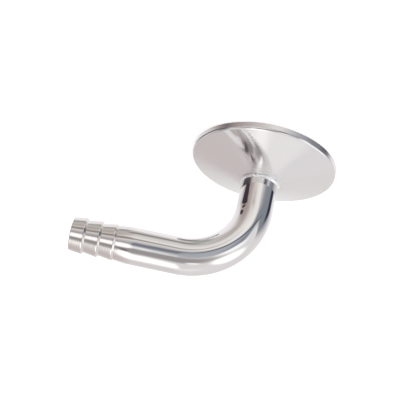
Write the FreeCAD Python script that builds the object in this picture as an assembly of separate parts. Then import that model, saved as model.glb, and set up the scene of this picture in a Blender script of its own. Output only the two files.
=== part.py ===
import FreeCAD, Part
import math
import os

# Sanitary hose barb elbow: a clamp ferrule with a bent tube welded to its tapered back.
# Millimetres and degrees. The origin is the centre of the ferrule's sealing face, +Z runs up the
# riser of the tube, and +X runs along the horizontal leg towards the barbed tip.

# Clamp ferrule, for a 50.5 mm sanitary clamp
FERRULE_DIAMETER = 50.5
RIM_HEIGHT = 2.5  # from the sealing face to the corner where the taper begins
TAPER_ANGLE = 20.0  # of the back, measured from the plane of the sealing face
RIM_BACK_CHAMFER = 0.4  # measured along the rim and along the taper
RIM_FRONT_CHAMFER = 0.3

# Gasket groove in the sealing face, with sloping flanks and a flat floor
GROOVE_CENTRE_DIAMETER = 43.6
GROOVE_WIDTH = 4.4  # at the face
GROOVE_FLOOR_WIDTH = 1.8
GROOVE_DEPTH = 1.6

# Tube
TUBE_DIAMETER = 12.7
TUBE_WALL = 2.0
FACE_TO_LEG_AXIS = 42.6  # sealing face to the axis of the horizontal leg
RISER_AXIS_TO_TIP = 58.7
BEND_RADIUS = 22.3  # of the centreline

# Socket in the ferrule that the tube's end stands in
SOCKET_FLOOR_HEIGHT = 4.0
SOCKET_CLEARANCE = 0.05  # radial

# Fillet weld round the foot of the tube
WELD_LEG = 0.8

# Barbs, turned on the end of the tube
BARB_COUNT = 3
BARB_PITCH = 5.15
BARB_CREST_DIAMETER = 12.35
BARB_ROOT_DIAMETER = 10.9
BARB_LAND = 0.3  # flat ring on each crest
BARB_BACK_LENGTH = 0.65  # axial length of the steep side behind each crest
TIP_DIAMETER = 11.2
TIP_CHAMFER = 0.25
NECK_DIAMETER = 11.6  # behind the last barb
NECK_LENGTH = 6.3  # over which the neck swells smoothly to the full tube

# Sizes worked out from those above
FERRULE_RADIUS = FERRULE_DIAMETER / 2
TUBE_RADIUS = TUBE_DIAMETER / 2
BORE_RADIUS = TUBE_RADIUS - TUBE_WALL
SOCKET_RADIUS = TUBE_RADIUS + SOCKET_CLEARANCE
TAPER = math.tan(math.radians(TAPER_ANGLE))
BEND_START_HEIGHT = FACE_TO_LEG_AXIS - BEND_RADIUS
LEG_LENGTH = RISER_AXIS_TO_TIP - BEND_RADIUS

UP = FreeCAD.Vector(0, 0, 1)
RISER_AXIS = FreeCAD.Vector(0, 0, 0)
LEG_DIRECTION = FreeCAD.Vector(1, 0, 0)


def back_height(radius):
    """Height of the ferrule's tapered back at a distance from its axis."""
    return RIM_HEIGHT + (FERRULE_RADIUS - radius) * TAPER


def profile_face(edges):
    """A plane face from edges that follow each other in a closed loop."""
    return Part.Face(Part.Wire(edges))


def lines(points):
    """Straight edges from point to point."""
    return [Part.makeLine(start, end) for start, end in zip(points, points[1:])]


def at(radius, height):
    """A point of a profile that is turned about the ferrule's axis."""
    return FreeCAD.Vector(radius, 0, height)


def clamp_ferrule():
    """Turned disc: sealing face with its groove, rim, tapered back, bore and tube socket."""
    groove_radius = GROOVE_CENTRE_DIAMETER / 2
    rim_corner = at(FERRULE_RADIUS, RIM_HEIGHT)
    foot = at(SOCKET_RADIUS, back_height(SOCKET_RADIUS))
    up_the_taper = (foot - rim_corner).normalize()
    bore_edge = at(BORE_RADIUS, 0)
    outline = [
        bore_edge,
        at(groove_radius - GROOVE_WIDTH / 2, 0),
        at(groove_radius - GROOVE_FLOOR_WIDTH / 2, GROOVE_DEPTH),
        at(groove_radius + GROOVE_FLOOR_WIDTH / 2, GROOVE_DEPTH),
        at(groove_radius + GROOVE_WIDTH / 2, 0),
        at(FERRULE_RADIUS - RIM_FRONT_CHAMFER, 0),
        at(FERRULE_RADIUS, RIM_FRONT_CHAMFER),
        at(FERRULE_RADIUS, RIM_HEIGHT - RIM_BACK_CHAMFER),
        rim_corner + up_the_taper * RIM_BACK_CHAMFER,
        foot,
        at(SOCKET_RADIUS, SOCKET_FLOOR_HEIGHT),
        at(BORE_RADIUS, SOCKET_FLOOR_HEIGHT),
        bore_edge,
    ]
    return profile_face(lines(outline)).revolve(RISER_AXIS, UP, 360)


def ring_face(centre, normal):
    """The tube's cross-section as a flat ring."""
    outer, inner = (
        Part.Face(Part.Wire(Part.makeCircle(radius, centre, normal))) for radius in (TUBE_RADIUS, BORE_RADIUS)
    )
    return outer.cut(inner)


def barbed_leg():
    """Straight end of the tube, turned down to three barbs behind a chamfered tip."""
    tip_x = RISER_AXIS_TO_TIP
    crest_radius = BARB_CREST_DIAMETER / 2
    root_radius = BARB_ROOT_DIAMETER / 2

    def leg_point(from_tip, radius):
        return FreeCAD.Vector(tip_x - from_tip, 0, FACE_TO_LEG_AXIS + radius)

    bore_chamfer_edge = leg_point(0, BORE_RADIUS + TIP_CHAMFER)
    outline = [
        bore_chamfer_edge,
        leg_point(0, TIP_DIAMETER / 2 - TIP_CHAMFER),
        leg_point(TIP_CHAMFER, TIP_DIAMETER / 2),
    ]
    for barb in range(BARB_COUNT):
        barb_end = (barb + 1) * BARB_PITCH
        last = barb == BARB_COUNT - 1
        outline += [
            leg_point(barb_end - BARB_BACK_LENGTH - BARB_LAND, crest_radius),
            leg_point(barb_end - BARB_BACK_LENGTH, crest_radius),
            leg_point(barb_end, NECK_DIAMETER / 2 if last else root_radius),
        ]
    neck_end = BARB_COUNT * BARB_PITCH + NECK_LENGTH
    full_tube = leg_point(neck_end, TUBE_RADIUS)
    neck_curve = Part.BezierCurve()
    neck_curve.setPoles([outline[-1], leg_point(neck_end - NECK_LENGTH / 2, TUBE_RADIUS), full_tube])
    tube_end = [
        full_tube,
        leg_point(LEG_LENGTH, TUBE_RADIUS),
        leg_point(LEG_LENGTH, BORE_RADIUS),
        leg_point(TIP_CHAMFER, BORE_RADIUS),
        bore_chamfer_edge,
    ]
    edges = lines(outline) + [neck_curve.toShape()] + lines(tube_end)
    leg_axis_point = FreeCAD.Vector(0, 0, FACE_TO_LEG_AXIS)
    return profile_face(edges).revolve(leg_axis_point, LEG_DIRECTION, 360)


def barbed_tube():
    """One tube: riser out of the ferrule, bend, and the leg with the barbs."""
    riser_length = BEND_START_HEIGHT - SOCKET_FLOOR_HEIGHT
    riser = ring_face(at(0, SOCKET_FLOOR_HEIGHT), UP).extrude(UP * riser_length)
    bend_centre = at(BEND_RADIUS, BEND_START_HEIGHT)
    bend_axis = FreeCAD.Vector(0, 1, 0)
    bend = ring_face(at(0, BEND_START_HEIGHT), UP).revolve(bend_centre, bend_axis, 90)
    return riser.fuse([bend, barbed_leg()]).removeSplitter()


def weld_bead():
    """Fillet weld in the corner between the tube and the ferrule's back."""
    corner = at(TUBE_RADIUS, back_height(TUBE_RADIUS))
    on_tube = corner + UP * WELD_LEG
    on_ferrule = at(TUBE_RADIUS + WELD_LEG, back_height(TUBE_RADIUS + WELD_LEG))
    return profile_face(lines([corner, on_tube, on_ferrule, corner])).revolve(RISER_AXIS, UP, 360)


def main():
    os.makedirs("parts", exist_ok=True)
    pieces = {
        "clamp_ferrule": clamp_ferrule(),
        "barbed_tube": barbed_tube(),
        "weld_bead": weld_bead(),
    }
    for name, shape in pieces.items():
        solids = shape.Solids
        print(name, "solids", len(solids), "valid", shape.isValid(), "volume", round(shape.Volume, 1))
        solids[0].exportStep(f"parts/{name}.step")


main()
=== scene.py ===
import math

import bpy
from mathutils import Matrix, Vector


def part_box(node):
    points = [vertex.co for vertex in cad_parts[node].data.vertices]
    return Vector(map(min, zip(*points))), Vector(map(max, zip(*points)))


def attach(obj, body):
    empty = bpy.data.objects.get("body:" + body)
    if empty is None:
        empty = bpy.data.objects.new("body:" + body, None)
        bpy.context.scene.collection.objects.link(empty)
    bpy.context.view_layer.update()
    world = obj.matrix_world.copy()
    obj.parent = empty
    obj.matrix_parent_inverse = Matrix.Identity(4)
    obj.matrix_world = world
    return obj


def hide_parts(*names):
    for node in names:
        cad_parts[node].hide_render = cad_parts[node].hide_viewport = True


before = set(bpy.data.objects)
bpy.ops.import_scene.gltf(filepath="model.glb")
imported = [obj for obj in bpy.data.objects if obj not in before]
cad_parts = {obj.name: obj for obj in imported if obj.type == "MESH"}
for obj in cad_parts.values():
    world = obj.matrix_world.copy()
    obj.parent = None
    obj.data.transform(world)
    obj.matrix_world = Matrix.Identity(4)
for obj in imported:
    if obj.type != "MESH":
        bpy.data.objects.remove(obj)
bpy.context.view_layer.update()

# Sanitary hose barb elbow: the looks of its three solids, and the studio that its metal mirrors

MM = 0.001  # sizes are in millimetres, and become metres where a mesh or a material takes them


def frame_size(metres):
    """A size of the solid model in millimetres, to the nearest micron."""
    return round(metres / MM, 3)


# Sizes read from the solids, whose origin is the centre of the ferrule's sealing face
_, ferrule_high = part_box("clamp_ferrule")
tube_low, tube_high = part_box("barbed_tube")
FERRULE_RADIUS = frame_size(ferrule_high.x)
TUBE_RADIUS = frame_size(tube_high.y)
SOCKET_FLOOR_HEIGHT = frame_size(tube_low.z)
FACE_TO_LEG_AXIS = frame_size(tube_high.z) - TUBE_RADIUS
RISER_AXIS_TO_TIP = frame_size(tube_high.x)

# The other sizes of the solids
RIM_HEIGHT = 2.5
TAPER = math.tan(math.radians(20))  # slope of the ferrule's back
GROOVE_CENTRE_RADIUS = 21.8
GROOVE_WIDTH = 4.4
GROOVE_FLOOR_WIDTH = 1.8
GROOVE_DEPTH = 1.6
TUBE_WALL = 2.0
SOCKET_CLEARANCE = 0.05
BEND_RADIUS = 22.3
BARB_COUNT = 3
BARB_PITCH = 5.15
BARB_CREST_RADIUS = 6.175
BARB_ROOT_RADIUS = 5.45
BARB_LAND = 0.3
BARB_BACK_LENGTH = 0.65
TIP_RADIUS = 5.6
NECK_RADIUS = 5.8
NECK_LENGTH = 6.3

# Sizes worked out from those above. Places along the tube count from the sealing face.
BORE_RADIUS = TUBE_RADIUS - TUBE_WALL
SOCKET_RADIUS = TUBE_RADIUS + SOCKET_CLEARANCE
BEND_START = FACE_TO_LEG_AXIS - BEND_RADIUS
BEND_END = BEND_START + BEND_RADIUS * math.pi / 2
TUBE_END = BEND_END + RISER_AXIS_TO_TIP - BEND_RADIUS
BARBS_LENGTH = BARB_COUNT * BARB_PITCH

# The corner between rim and back, worn into a steep flat and a bevel
EDGE_FLAT = 0.4
EDGE_FLAT_TILT = math.radians(12)
EDGE_BEVEL = 0.5
EDGE_BEVEL_TILT = math.radians(45)

# Roundings of the edges, as turning and polishing leave them
HIDDEN_EDGE = 0.02  # in the socket, where the pieces meet
BORE_EDGE = 0.05
GROOVE_EDGE = 0.15
GROOVE_CORNER = 0.6
RIM_FRONT_EDGE = 0.3
RIM_BACK_EDGE = 0.1
BEVEL_EDGE = 1.0  # where the bevel runs out into the tapered back
SOCKET_EDGE = 0.05
BARB_EDGE = 0.08
LAND_EDGE = 0.12  # where the cone of a barb meets its land
TIP_EDGE = 0.25
TIP_BORE_EDGE = 0.2

TIP_SETBACK = 0.001  # keeps the rounded tip inside the box of the solid
TIP_INSET = 0.02  # the first barb's cone is narrower at the end face than behind the chamfer

# Weld bead, with its ripples and its slow unevenness
WELD_RISE = 1.15  # up the tube
WELD_REACH = 0.65  # out along the ferrule
WELD_TUCK = 0.08  # of its edges, into the tube and the ferrule
WELD_ROOT = 0.3  # depth and width of its hidden root, from the corner
WELD_BULGE = 0.05
RIPPLE_COUNT = 84
RIPPLE_HEIGHT = 0.06
RIPPLE_BOW = 0.9  # lead of a ripple's middle over its ends, in radians
UNEVENNESS = [(3, 0.03, 1), (7, 0.02, 0)]  # waves round the bead, their height and their start

# Fineness of the meshes
AROUND = 224  # faces round each turned or bent surface
ARC_STEPS = 4  # faces in each rounded corner
NECK_STEPS = 24
BEND_STEP = 0.45  # length of a face along the bend
BORE_BEND_STEP = 0.9
WELD_ROWS = 9  # of points, from the tube to the ferrule
RIPPLE_STEPS = 8  # faces in each ripple
SAME_RADIUS = 0.01  # radii that differ by less count as one

# Colours, each red, green, blue and opacity, and for the metal the pairs that clouds blend
WHITE = (1, 1, 1, 1)
TUBE_COLOURS = [(0.88, 0.87, 0.86, 1), (0.84, 0.83, 0.82, 1)]
TUBE_TINTS = [WHITE, (0.95, 0.93, 0.92, 1)]  # where it is polished, and where it is turned
FERRULE_COLOURS = [(0.88, 0.87, 0.865, 1), (0.84, 0.83, 0.825, 1)]
BORE_COLOURS = [(0.72, 0.71, 0.70, 1), (0.60, 0.59, 0.58, 1)]
WELD_COLOURS = [WHITE, (0.45, 0.43, 0.42, 1)]  # bright metal, and specks of scale
FLOOR_COLOUR = (0.9, 0.9, 0.9, 1)

# Finish of the metal: the roughness that is added in places, and its relief
TURNED_DULLNESS = 0.05  # round the barbs
RIM_DULLNESS = 0.16
RIM_SEAM_START = 0.02  # in from the rim's outside, where its duller finish begins
RIM_SEAM_END = 0.005
WELD_DULLNESS = 0.3
WELD_DULL_REACH = 6  # out from the tube, to where the dulling round the weld has faded
MARKS_SHARE = 0.2  # height of the turning marks round the barbs, beside the waves of the tube

# Pale floor
FLOOR_GLOW = 0.5  # lifts the lit floor to white for the camera
FLOOR_HALF_WIDTH = 1500
FLOOR_DROP = 0.1  # below the sealing face

# Camera of the photograph
CAMERA_PLACE = (5.74, -398.38, 220.88)
CAMERA_TARGET = (19.0, 0, 20.44)
CAMERA_ROLL = math.radians(-167.37)
CAMERA_LENS = 117.0
CAMERA_SENSOR = 36
CAMERA_CLIP = 10  # shortest distance that it shows

# Studio: soft panels of light and shade all round the fitting, as inside a white tent with gaps.
# Each has its direction (azimuth, elevation), the turn of its width, half width and half height
# as sines, the softness of its edge, and its colour. Later ones lie in front of earlier ones.
TENT_COLOUR = (0.78, 0.76, 0.76)
PANELS = [
    ("room beyond the left side", -140, -10, 20, 0.90, 0.40, 0.35, (0.25, 0.27, 0.31)),
    ("grey ceiling", -80, 50, 0, 0.70, 0.30, 0.45, (0.36, 0.34, 0.34)),
    ("pale table behind", 95, -55, 125, 0.65, 0.80, 0.30, (0.98, 0.95, 0.98)),
    ("table edge", -60, -60, 10, 0.25, 0.40, 0.30, (0.58, 0.56, 0.54)),
    ("camera", -85, 15, 75, 0.30, 0.05, 0.50, (0.18, 0.19, 0.24)),
    ("white card below the camera", -90, -25, 70, 0.20, 0.45, 0.25, (0.92, 0.90, 0.88)),
    ("left screen", 170, 40, 145, 0.95, 0.40, 0.05, (0.80, 0.78, 0.80)),
    ("grey card", -70, -20, 95, 0.12, 0.35, 0.35, (0.34, 0.30, 0.28)),
    ("top lamp", -10, 80, 115, 0.15, 0.40, 0.50, (1.60, 1.56, 1.54)),
    ("low shade on the right", -15, -25, 115, 0.30, 0.70, 0.50, (0.42, 0.34, 0.32)),
    ("small lamp", -135, 15, 125, 0.15, 0.25, 0.50, (1.08, 1.08, 1.10)),
    ("shade on the right", -25, 5, 170, 0.70, 0.30, 0.50, (0.30, 0.26, 0.26)),
    ("warm wall", 55, 35, 105, 0.50, 0.40, 0.50, (0.64, 0.58, 0.58)),
    ("pale screen above", 115, 65, 0, 0.25, 0.15, 0.50, (0.90, 0.88, 0.89)),
    ("left softbox", -170, 35, 20, 0.40, 0.30, 0.25, (1.20, 1.22, 1.22)),
    ("front softbox", -70, 28, 0, 0.25, 0.22, 0.35, (1.30, 1.28, 1.30)),
    ("dark strip above the softbox", -66, 54, 0, 0.08, 0.13, 0.40, (0.20, 0.19, 0.19)),
    ("dark gap on the right", -5, -18, 5, 0.55, 0.17, 0.15, (0.05, 0.04, 0.05)),
    ("lower part of the gap", -14, -26, 0, 0.50, 0.05, 0.10, (0.05, 0.04, 0.05)),
    ("upper dark slat under the gap", -14, -31.5, 172, 0.17, 0.028, 0.20, (0.04, 0.03, 0.04)),
    ("lower dark slat under the gap", -12, -38, 0, 0.17, 0.045, 0.20, (0.06, 0.05, 0.06)),
    ("grey screen beside the camera", -105, 10, 55, 0.40, 0.20, 0.50, (0.43, 0.46, 0.50)),
    ("dark gap on the left", 170, -29, 40, 0.36, 0.14, 0.40, (0.04, 0.04, 0.07)),
    ("dark corner below the left gap", -168, -38, 0, 0.20, 0.13, 0.30, (0.03, 0.03, 0.03)),
    ("dark edge of the grey screen", -115, -10, 20, 0.45, 0.04, 0.50, (0.10, 0.10, 0.13)),
    ("dark doorway on the right", 20, -15, 170, 0.60, 0.12, 0.40, (0.05, 0.04, 0.05)),
    ("grey rail below", -42, -71, 135, 0.16, 0.10, 0.40, (0.40, 0.40, 0.39)),
    ("thin rail below", -79, -65, 65, 0.14, 0.08, 0.40, (0.30, 0.28, 0.27)),
    ("grey shutter above", 14, 44, 0, 0.35, 0.12, 0.30, (0.28, 0.31, 0.30)),
    ("pale corner of the ceiling", -122, 61, 0, 0.13, 0.09, 0.50, (1.00, 0.98, 0.98)),
]
PANEL_HORIZON = 0.02  # a panel fades in up to this cosine, in the half of the studio it faces


def straight_frame(along):
    """Centre, forward direction and inward direction of the ferrule's upright axis."""
    return Vector((0, 0, along)), Vector((0, 0, 1)), Vector((1, 0, 0))


def path_frame(along):
    """The same for the tube's centreline: up the riser, round the bend and out to the tip."""
    turned = min(max(along - BEND_START, 0) / BEND_RADIUS, math.pi / 2)
    beyond_bend = max(along - BEND_END, 0)
    centre = Vector(
        (
            BEND_RADIUS * (1 - math.cos(turned)) + beyond_bend,
            0,
            min(along, BEND_START) + BEND_RADIUS * math.sin(turned),
        )
    )
    forward = Vector((math.sin(turned), 0, math.cos(turned)))
    inward = Vector((math.cos(turned), 0, -math.sin(turned)))
    return centre, forward, inward


def back_height(radius):
    """Height of the ferrule's tapered back at a distance from its axis."""
    return RIM_HEIGHT + (FERRULE_RADIUS - radius) * TAPER


def unit(along, radius):
    """Direction of a vector in the section, with a length of one."""
    length = math.hypot(along, radius)
    return along / length, radius / length


def rounded_corner(corner, rounding, back, ahead, normal_in, normal_out):
    """Points and outward normals of the arc that takes the place of a corner."""
    half_angle = math.acos(max(-1.0, min(1.0, back[0] * ahead[0] + back[1] * ahead[1]))) / 2
    bisector = unit(back[0] + ahead[0], back[1] + ahead[1])
    reach = rounding / math.sin(half_angle)
    centre = (corner[0] + bisector[0] * reach, corner[1] + bisector[1] * reach)
    convex = bisector[0] * normal_in[0] + bisector[1] * normal_in[1] < 0
    outward = rounding if convex else -rounding
    start = math.atan2(normal_in[1], normal_in[0])
    turn = math.atan2(normal_out[1], normal_out[0]) - start
    turn = (turn + math.pi) % (2 * math.pi) - math.pi
    points = []
    for step in range(ARC_STEPS + 1):
        angle = start + turn * step / ARC_STEPS
        normal = (math.cos(angle), math.sin(angle))
        points.append((centre[0] + outward * normal[0], centre[1] + outward * normal[1], *normal))
    return points


def rounded_section(corners):
    """Points and outward normals round a closed section of (along, radius, rounding) corners.

    A rounding of None marks a point on a smooth stretch, which is passed through.
    """
    points = []
    for index, (along, radius, rounding) in enumerate(corners):
        before = corners[index - 1]
        after = corners[(index + 1) % len(corners)]
        back = unit(before[0] - along, before[1] - radius)
        ahead = unit(after[0] - along, after[1] - radius)
        normal_in = (-back[1], back[0])
        normal_out = (ahead[1], -ahead[0])
        if rounding is None:
            normal = unit(normal_in[0] + normal_out[0], normal_in[1] + normal_out[1])
            points.append((along, radius, *normal))
        else:
            points += rounded_corner((along, radius), rounding, back, ahead, normal_in, normal_out)
    return points


def closed_grid(rows, columns):
    """Faces of a grid of points that closes on itself both ways."""
    faces = []
    for row in range(rows):
        start = row * columns
        following = (row + 1) % rows * columns
        for column in range(columns):
            beside = (column + 1) % columns
            faces.append((start + column, start + beside, following + beside, following + column))
    return faces


def add_piece(name, vertices, faces, outward):
    """Smooth object of a mesh, turned so that its first face looks outward."""
    mesh = bpy.data.meshes.new(name)
    mesh.from_pydata(vertices, [], faces)
    mesh.update()
    if mesh.polygons[0].normal.dot(outward) < 0:
        mesh.flip_normals()
    mesh.shade_smooth()
    piece = bpy.data.objects.new(name, mesh)
    bpy.context.scene.collection.objects.link(piece)
    return piece


def turned_piece(name, outline, frame_at):
    """Piece of an outline carried round a centreline, with its second material on the bore."""
    section = rounded_section(outline)
    side = Vector((0, 1, 0))
    vertices = []
    normals = []
    for along, radius, normal_along, normal_radius in section:
        centre, forward, inward = frame_at(along)
        for step in range(AROUND):
            turn = 2 * math.pi * step / AROUND
            radial = inward * math.cos(turn) + side * math.sin(turn)
            vertices.append((centre + radial * radius) * MM)
            normals.append((forward * normal_along + radial * normal_radius).normalized())
    rings = len(section)
    outward = normals[0] + normals[AROUND + 1]
    piece = add_piece(name, vertices, closed_grid(rings, AROUND), outward)
    piece.data.normals_split_custom_set_from_vertices(normals)
    for ring, point in enumerate(section):
        following = section[(ring + 1) % rings]
        if max(point[1], following[1]) < BORE_RADIUS + SAME_RADIUS:
            for face in piece.data.polygons[ring * AROUND : (ring + 1) * AROUND]:
                face.material_index = 1
    return piece


def ferrule_piece():
    """Clamp ferrule: sealing face with its groove, rim, worn corner, tapered back and socket."""
    flat_drop = EDGE_FLAT * math.cos(EDGE_FLAT_TILT)
    flat_step = EDGE_FLAT * math.sin(EDGE_FLAT_TILT)
    bevel_drop = EDGE_BEVEL * math.cos(EDGE_BEVEL_TILT)
    bevel_step = EDGE_BEVEL * math.sin(EDGE_BEVEL_TILT)
    bevel_radius = FERRULE_RADIUS - flat_step - bevel_step
    bevel_top = back_height(bevel_radius)
    outline = [
        (0, BORE_RADIUS, BORE_EDGE),
        (0, GROOVE_CENTRE_RADIUS - GROOVE_WIDTH / 2, GROOVE_EDGE),
        (GROOVE_DEPTH, GROOVE_CENTRE_RADIUS - GROOVE_FLOOR_WIDTH / 2, GROOVE_CORNER),
        (GROOVE_DEPTH, GROOVE_CENTRE_RADIUS + GROOVE_FLOOR_WIDTH / 2, GROOVE_CORNER),
        (0, GROOVE_CENTRE_RADIUS + GROOVE_WIDTH / 2, GROOVE_EDGE),
        (0, FERRULE_RADIUS, RIM_FRONT_EDGE),
        (bevel_top - bevel_drop - flat_drop, FERRULE_RADIUS, RIM_BACK_EDGE),
        (bevel_top - bevel_drop, FERRULE_RADIUS - flat_step, RIM_BACK_EDGE),
        (bevel_top, bevel_radius, BEVEL_EDGE),
        (back_height(SOCKET_RADIUS), SOCKET_RADIUS, SOCKET_EDGE),
        (SOCKET_FLOOR_HEIGHT, SOCKET_RADIUS, HIDDEN_EDGE),
        (SOCKET_FLOOR_HEIGHT, BORE_RADIUS, HIDDEN_EDGE),
    ]
    return turned_piece("ferrule_turned", outline, straight_frame)


def bend_points(start, end, radius, step):
    """Points of an outline from one end of the bend to the other, close enough to follow it."""
    count = math.ceil(abs(end - start) / step)
    return [(start + (end - start) * index / count, radius, None) for index in range(count + 1)]


def neck_points():
    """Points of the neck's smooth curve, from the full tube to the last barb."""
    start = TUBE_END - BARBS_LENGTH - NECK_LENGTH
    points = []
    for index in range(NECK_STEPS):
        share = index / NECK_STEPS
        radius = TUBE_RADIUS - (TUBE_RADIUS - NECK_RADIUS) * share**2
        points.append((start + NECK_LENGTH * share, radius, None))
    return points


def barb_points(barb):
    """Points of one barb, counted from the tip: its foot, its crest and the end of its land."""
    foot = TUBE_END - (barb + 1) * BARB_PITCH
    crest = foot + BARB_BACK_LENGTH
    last = barb == BARB_COUNT - 1
    return [
        (foot, NECK_RADIUS if last else BARB_ROOT_RADIUS, BARB_EDGE),
        (crest, BARB_CREST_RADIUS, BARB_EDGE),
        (crest + BARB_LAND, BARB_CREST_RADIUS, LAND_EDGE),
    ]


def tube_piece():
    """Barbed tube: riser, bend, neck, barbs and tip outside, and the bore inside."""
    outline = [(SOCKET_FLOOR_HEIGHT, TUBE_RADIUS, HIDDEN_EDGE)]
    outline += bend_points(BEND_START, BEND_END, TUBE_RADIUS, BEND_STEP)
    outline += neck_points()
    for barb in reversed(range(BARB_COUNT)):
        outline += barb_points(barb)
    outline.append((TUBE_END - TIP_SETBACK, TIP_RADIUS - TIP_INSET, TIP_EDGE))
    outline.append((TUBE_END - TIP_SETBACK, BORE_RADIUS, TIP_BORE_EDGE))
    outline += bend_points(BEND_END, BEND_START, BORE_RADIUS, BORE_BEND_STEP)
    outline.append((SOCKET_FLOOR_HEIGHT, BORE_RADIUS, HIDDEN_EDGE))
    return turned_piece("tube_polished", outline, path_frame)


def weld_section(turn):
    """Section of the weld bead at a turn round the riser, as (height, radius) points."""
    foot = back_height(TUBE_RADIUS)
    outer_radius = TUBE_RADIUS + WELD_REACH
    on_tube = Vector((foot + WELD_RISE, TUBE_RADIUS - WELD_TUCK))
    on_ferrule = Vector((back_height(outer_radius) - WELD_TUCK, outer_radius))
    outward = Vector((on_ferrule.y - on_tube.y, on_tube.x - on_ferrule.x)).normalized()
    drift = sum(height * math.sin(waves * turn + start) for waves, height, start in UNEVENNESS)
    points = []
    for row in range(WELD_ROWS):
        share = row / (WELD_ROWS - 1)
        swell = math.sin(math.pi * share)
        ripple = abs(math.sin(RIPPLE_COUNT / 2 * turn + RIPPLE_BOW * swell))
        height = swell * (WELD_BULGE + RIPPLE_HEIGHT * ripple + drift)
        points.append(on_tube.lerp(on_ferrule, share) + outward * height)
    points.append(Vector((foot - WELD_ROOT, TUBE_RADIUS + WELD_ROOT)))
    points.append(Vector((foot - WELD_ROOT, TUBE_RADIUS - WELD_TUCK)))
    return points


def weld_piece():
    """Weld bead with the fine overlapping ripples that the torch leaves."""
    around = RIPPLE_COUNT * RIPPLE_STEPS
    vertices = []
    for step in range(around):
        turn = 2 * math.pi * step / around
        section = weld_section(turn)
        for height, radius in section:
            vertices.append(Vector((radius * math.cos(turn), radius * math.sin(turn), height)) * MM)
    outward = Vector((1, 0, 1))
    return add_piece("weld_rippled", vertices, closed_grid(around, len(section)), outward)


class NodeTree:
    """Nodes of a material or of the world, with short ways to add and join them."""

    def __init__(self, owner):
        owner.use_nodes = True
        self.nodes = owner.node_tree.nodes
        self.links = owner.node_tree.links

    def fill(self, node, inputs):
        """Fill a node's inputs: outputs of other nodes are joined, and plain values are copied."""
        for key, value in inputs.items():
            if isinstance(value, bpy.types.NodeSocket):
                self.links.new(value, node.inputs[key])
            else:
                node.inputs[key].default_value = value

    def add(self, kind, inputs, **settings):
        """New node with its settings and inputs."""
        node = self.nodes.new(kind)
        for name, value in settings.items():
            setattr(node, name, value)
        self.fill(node, inputs)
        return node

    def source(self, kind, output):
        """Output of a new node that needs no inputs."""
        return self.add(kind, {}).outputs[output]

    def maths(self, operation, first, second):
        """Result of an operation on two values."""
        return self.add("ShaderNodeMath", {0: first, 1: second}, operation=operation).outputs[0]

    def distance(self, across, along):
        """Length of a vector with these two parts."""
        both = self.add("ShaderNodeCombineXYZ", {0: across, 1: along}).outputs[0]
        length = self.add("ShaderNodeVectorMath", {0: both}, operation="LENGTH")
        return length.outputs["Value"]

    def remap(self, value, low, high, from_low=0.3, from_high=0.7, curve="LINEAR"):
        """Value carried from one range to another. Noise mostly lies between 0.3 and 0.7."""
        ends = {"From Min": from_low, "From Max": from_high, "To Min": low, "To Max": high}
        inputs = {"Value": value, **ends}
        return self.add("ShaderNodeMapRange", inputs, interpolation_type=curve).outputs["Result"]

    def blend(self, factor, first, second):
        """Colour between two. Sockets 6 and 7, and output 2, are those for colours."""
        mix = self.add("ShaderNodeMix", {0: factor, 6: first, 7: second}, data_type="RGBA")
        return mix.outputs[2]

    def noise(self, place, per_metre, detail=2):
        """Soft clouds, by how many of them fit in a metre."""
        inputs = {"Vector": place, "Scale": per_metre, "Detail": detail}
        return self.add("ShaderNodeTexNoise", inputs).outputs["Fac"]

    def lathe_marks(self, along, spacing):
        """Uneven fine rings that turning leaves, from a place along the tool's path in metres."""
        inputs = {"W": along, "Scale": 1 / (spacing * MM), "Detail": 1}
        return self.add("ShaderNodeTexNoise", inputs, noise_dimensions="1D").outputs["Fac"]

    def bump(self, height, strength, depth):
        """Normal of a surface with small heights and hollows of this depth."""
        inputs = {"Height": height, "Strength": strength, "Distance": depth * MM}
        return self.add("ShaderNodeBump", inputs).outputs["Normal"]


def new_steel(name):
    """New metal material, with its tree, its shader and the place of each point in metres."""
    material = bpy.data.materials.new(name)
    tree = NodeTree(material)
    shader = next(node for node in tree.nodes if node.type == "BSDF_PRINCIPLED")
    return material, tree, shader, tree.source("ShaderNodeTexCoord", "Object")


def tube_material():
    """Mirror-polished tube: gentle waves from bending, and turning marks round the barbs."""
    material, tree, shader, place = new_steel("polished_tube_steel")
    x = tree.add("ShaderNodeSeparateXYZ", {0: place}).outputs["X"]
    neck_foot = RISER_AXIS_TO_TIP - BARBS_LENGTH - NECK_LENGTH
    neck_middle = neck_foot + NECK_LENGTH / 2
    turned = tree.remap(x, 0, 1, neck_foot * MM, neck_middle * MM)
    clouds = tree.blend(tree.noise(place, per_metre=90), *TUBE_COLOURS)
    tint = tree.blend(turned, *TUBE_TINTS)
    tinted = tree.add("ShaderNodeVectorMath", {0: clouds, 1: tint}, operation="MULTIPLY")
    grain = tree.remap(tree.noise(place, per_metre=260, detail=4), low=0.02, high=0.05)
    dulling = tree.maths("MULTIPLY", turned, TURNED_DULLNESS)
    marks = tree.maths("MULTIPLY", tree.lathe_marks(x, spacing=0.35), turned)
    waves = tree.noise(place, per_metre=110, detail=1)
    height = tree.maths("ADD", tree.maths("MULTIPLY", marks, MARKS_SHARE), waves)
    inputs = {
        "Base Color": tinted.outputs[0],
        "Metallic": 1,
        "Roughness": tree.maths("ADD", grain, dulling),
        "Normal": tree.bump(height, strength=0.25, depth=0.2),
    }
    tree.fill(shader, inputs)
    return material


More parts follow.
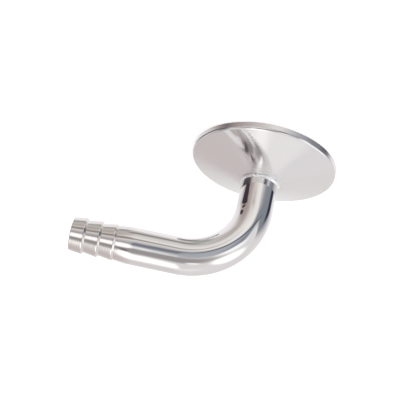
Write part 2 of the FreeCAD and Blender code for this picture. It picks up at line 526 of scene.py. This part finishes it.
def ferrule_material():
    """Turned disc: fine rings on the polished back, and a duller brushed rim."""
    material, tree, shader, place = new_steel("turned_ferrule_steel")
    split = tree.add("ShaderNodeSeparateXYZ", {0: place}).outputs
    radius = tree.distance(split["X"], split["Y"])
    seam_start = (FERRULE_RADIUS - RIM_SEAM_START) * MM
    seam_end = (FERRULE_RADIUS - RIM_SEAM_END) * MM
    rim = tree.remap(radius, 0, RIM_DULLNESS, seam_start, seam_end)
    weld_edge = (TUBE_RADIUS + WELD_REACH) * MM
    clean_edge = (TUBE_RADIUS + WELD_DULL_REACH) * MM
    by_weld = tree.remap(radius, WELD_DULLNESS, 0, weld_edge, clean_edge)
    grain = tree.remap(tree.noise(place, per_metre=150, detail=4), low=0.05, high=0.08)
    path = tree.maths("SUBTRACT", radius, split["Z"])
    inputs = {
        "Base Color": tree.blend(tree.noise(place, per_metre=60), *FERRULE_COLOURS),
        "Metallic": 0.88,  # the rest is the haze of fine turning marks
        "Roughness": tree.maths("ADD", grain, tree.maths("ADD", rim, by_weld)),
        "Normal": tree.bump(tree.lathe_marks(path, spacing=0.4), strength=0.2, depth=0.02),
    }
    tree.fill(shader, inputs)
    return material


def bore_material():
    """Inside of the tube and ferrule: dull drawn steel."""
    material, tree, shader, place = new_steel("dull_bore_steel")
    inputs = {
        "Base Color": tree.blend(tree.noise(place, per_metre=300, detail=3), *BORE_COLOURS),
        "Metallic": 0.8,
        "Roughness": tree.remap(tree.noise(place, per_metre=500, detail=3), low=0.4, high=0.55),
    }
    tree.fill(shader, inputs)
    return material


def weld_material():
    """Bright weld metal with dark specks of scale."""
    material, tree, shader, place = new_steel("weld_metal")
    fine_clouds = tree.noise(place, per_metre=1300)
    specks = tree.remap(fine_clouds, low=1, high=0, from_low=0.3, from_high=0.36)
    inputs = {
        "Base Color": tree.blend(specks, *WELD_COLOURS),
        "Metallic": 1,
        "Roughness": tree.remap(tree.noise(place, per_metre=700, detail=3), low=0.15, high=0.35),
    }
    tree.fill(shader, inputs)
    return material


def floor_material():
    """Pale floor: white to the camera where it is lit, and still shaded under the fitting."""
    material = bpy.data.materials.new("pale_floor")
    tree = NodeTree(material)
    tree.nodes.clear()
    diffuse = tree.add("ShaderNodeBsdfDiffuse", {"Color": FLOOR_COLOUR})
    seen = tree.source("ShaderNodeLightPath", "Is Camera Ray")
    glow = tree.add("ShaderNodeEmission", {"Strength": tree.maths("MULTIPLY", seen, FLOOR_GLOW)})
    both = tree.add("ShaderNodeAddShader", {0: diffuse.outputs[0], 1: glow.outputs[0]})
    tree.add("ShaderNodeOutputMaterial", {"Surface": both.outputs[0]})
    return material


def add_floor():
    """Wide square floor, which the metal doesn't mirror."""
    reach = FLOOR_HALF_WIDTH * MM
    corners = [(-reach, -reach), (reach, -reach), (reach, reach), (-reach, reach)]
    vertices = [(x, y, -FLOOR_DROP * MM) for x, y in corners]
    floor = add_piece("floor", vertices, [(0, 1, 2, 3)], Vector((0, 0, 1)))
    floor.data.materials.append(floor_material())
    floor.visible_glossy = False


def direction(azimuth, elevation):
    """Unit vector of a direction in degrees."""
    azimuth = math.radians(azimuth)
    elevation = math.radians(elevation)
    flat = math.cos(elevation)
    return Vector((flat * math.cos(azimuth), flat * math.sin(azimuth), math.sin(elevation)))


def lay_panel(tree, look, colour, panel):
    """Colour of the studio with one more soft elliptical panel laid over it."""
    _, azimuth, elevation, turn, half_width, half_height, softness, tint = panel
    facing = direction(azimuth, elevation)
    level = direction(azimuth + 90, 0)
    upright = facing.cross(level)
    turn = math.radians(turn)
    across = level * math.cos(turn) + upright * math.sin(turn)
    along = upright * math.cos(turn) - level * math.sin(turn)

    def share_along(vector):
        product = tree.add("ShaderNodeVectorMath", {0: look, 1: vector}, operation="DOT_PRODUCT")
        return product.outputs["Value"]

    distance = tree.distance(share_along(across / half_width), share_along(along / half_height))
    inside = tree.remap(distance, 0, 1, 1 + softness, 1 - softness, curve="SMOOTHSTEP")
    ahead = tree.remap(share_along(facing), 0, 1, 0, PANEL_HORIZON, curve="SMOOTHSTEP")
    return tree.blend(tree.maths("MULTIPLY", inside, ahead), colour, (*tint, 1))


def add_studio():
    """World of soft panels, white to the camera itself."""
    world = bpy.data.worlds.new("studio")
    bpy.context.scene.world = world
    tree = NodeTree(world)
    tree.nodes.clear()
    look = tree.source("ShaderNodeTexCoord", "Generated")
    colour = tree.source("ShaderNodeRGB", "Color")
    colour.default_value = (*TENT_COLOUR, 1)
    for panel in PANELS:
        colour = lay_panel(tree, look, colour, panel)
    tent = tree.add("ShaderNodeBackground", {"Color": colour})
    white = tree.add("ShaderNodeBackground", {"Color": WHITE})
    seen = tree.source("ShaderNodeLightPath", "Is Camera Ray")
    pick = tree.add("ShaderNodeMixShader", {0: seen, 1: tent.outputs[0], 2: white.outputs[0]})
    tree.add("ShaderNodeOutputWorld", {"Surface": pick.outputs[0]})


def add_camera():
    """Camera of the photograph: above the fitting's side and turned almost upside down."""
    place = Vector(CAMERA_PLACE) * MM
    target = Vector(CAMERA_TARGET) * MM
    camera = bpy.data.cameras.new("photo_camera")
    camera.sensor_width = CAMERA_SENSOR
    camera.lens = CAMERA_LENS
    camera.clip_start = CAMERA_CLIP * MM
    holder = bpy.data.objects.new("photo_camera", camera)
    bpy.context.scene.collection.objects.link(holder)
    level = (target - place).to_track_quat("-Z", "Y").to_matrix().to_4x4()
    holder.matrix_world = Matrix.Translation(place) @ level @ Matrix.Rotation(CAMERA_ROLL, 4, "Z")
    bpy.context.scene.camera = holder


def dress(piece, node, materials):
    """Give a piece its materials, and let it take the place of a solid."""
    for material in materials:
        piece.data.materials.append(material)
    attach(piece, "root")
    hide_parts(node)


bore = bore_material()
dress(ferrule_piece(), "clamp_ferrule", [ferrule_material(), bore])
dress(tube_piece(), "barbed_tube", [tube_material(), bore])
dress(weld_piece(), "weld_bead", [weld_material()])
add_floor()
add_studio()
add_camera()
bpy.context.scene.view_settings.view_transform = "Standard"
